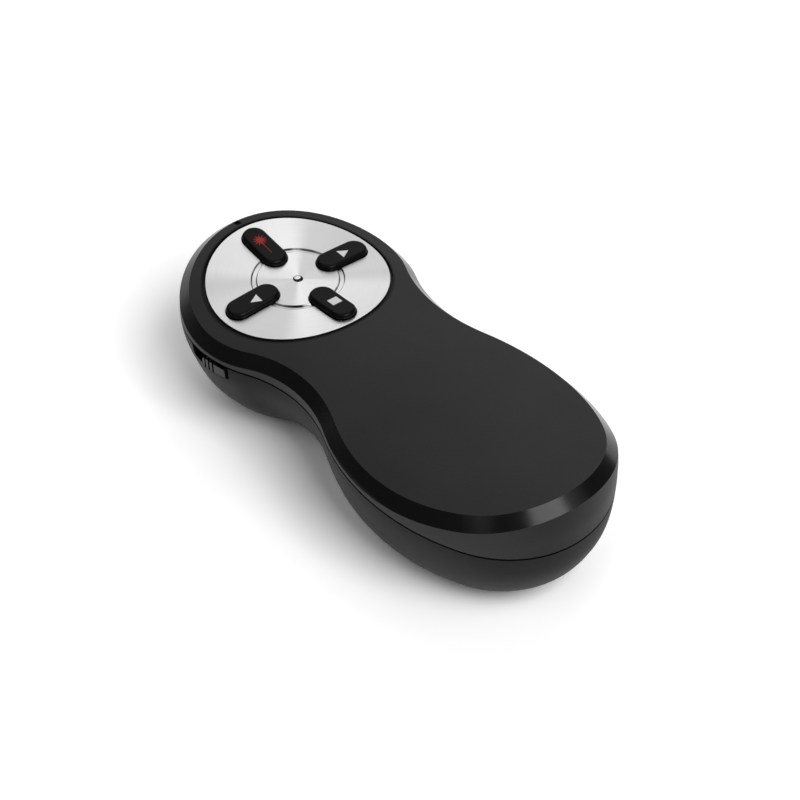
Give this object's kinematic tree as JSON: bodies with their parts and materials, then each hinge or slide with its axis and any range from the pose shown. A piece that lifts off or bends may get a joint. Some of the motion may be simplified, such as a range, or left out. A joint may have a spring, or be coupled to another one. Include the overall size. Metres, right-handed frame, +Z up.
{
  "type": "wireless presentation clicker",
  "caption": "Hand-held presentation remote with a round steel face, push keys for paging and a laser pointer, a sliding power switch, a battery cover and a stowed radio receiver.",
  "frame": {"origin": "on the flat of the belly, under the middle of the body", "axes": "+Y towards the nose with the laser window, +X to the user's right, +Z up through the face with the keys"},
  "size_m": [0.0477, 0.1025, 0.0282],
  "materials": {
    "upper_casing": "matt black moulding with a polished bevel round its top",
    "lower_casing": "fine matt texture",
    "brushed_disc": "spun, with fine streaks round its centre",
    "key_plastic": "matt tops with glossy rounded sides",
    "plunger_plastic": "plain",
    "switch_plastic": "plain",
    "clear_plastic": "clear, polished",
    "light_chip": "white moulding",
    "circuit_board": "green solder mask",
    "screw_steel": "zinc plated",
    "tinned_can": "tinned sheet",
    "laser_brass": "turned",
    "knob_plastic": "ribbed, satin",
    "cell_jacket": "plain printed sleeve, left bare",
    "contact_metal": "nickel plated",
    "receiver_plastic": "fine matt texture",
    "plug_metal": "plated sheet"
  },
  "bodies": {
    "housing": {"top_housing": "upper_casing", "face_plate": "brushed_disc", "key_switch_bodies": "switch_plastic", "status_light_lens": "clear_plastic", "status_light": "light_chip", "control_board": "circuit_board", "board_screws": "screw_steel", "radio_shield": "tinned_can", "laser_barrel": "laser_brass", "laser_window": "clear_plastic", "power_switch_body": "tinned_can", "bottom_housing": "lower_casing", "housing_screws": "screw_steel", "battery_left": "cell_jacket", "battery_right": "cell_jacket", "battery_plates": "contact_metal", "battery_springs": "contact_metal"},
    "next_button": {"next_key": "key_plastic", "next_switch_plunger": "plunger_plastic"},
    "laser_button": {"laser_key": "key_plastic", "laser_switch_plunger": "plunger_plastic"},
    "previous_button": {"previous_key": "key_plastic", "previous_switch_plunger": "plunger_plastic"},
    "stop_button": {"stop_key": "key_plastic", "stop_switch_plunger": "plunger_plastic"},
    "power_slider": {"power_switch_knob": "knob_plastic", "power_switch_lever": "plunger_plastic"},
    "cover": {"battery_cover": "lower_casing"},
    "receiver": {"usb_receiver_case": "receiver_plastic", "usb_receiver_plug": "plug_metal"}
  },
  "joints": [
    {"name": "next_press", "type": "slide", "parent": "housing", "child": "next_button", "axis": [0, 0, -1], "range_m": [0, 0.0008], "stiffness_N_per_m": 1200, "springref_m": -0.0004},
    {"name": "laser_press", "type": "slide", "parent": "housing", "child": "laser_button", "axis": [0, 0, -1], "range_m": [0, 0.0008], "stiffness_N_per_m": 1200, "springref_m": -0.0004},
    {"name": "previous_press", "type": "slide", "parent": "housing", "child": "previous_button", "axis": [0, 0, -1], "range_m": [0, 0.0008], "stiffness_N_per_m": 1200, "springref_m": -0.0004},
    {"name": "stop_press", "type": "slide", "parent": "housing", "child": "stop_button", "axis": [0, 0, -1], "range_m": [0, 0.0008], "stiffness_N_per_m": 1200, "springref_m": -0.0004},
    {"name": "power_slide", "type": "slide", "parent": "housing", "child": "power_slider", "axis": [0, 1, 0], "range_m": [0, 0.004]},
    {"name": "cover_lift", "type": "slide", "parent": "housing", "child": "cover", "axis": [0, 0, -1], "range_m": [0, 0.02]},
    {"name": "receiver_pull", "type": "slide", "parent": "housing", "child": "receiver", "axis": [0, 0, -1], "range_m": [0, 0.012]}
  ]
}
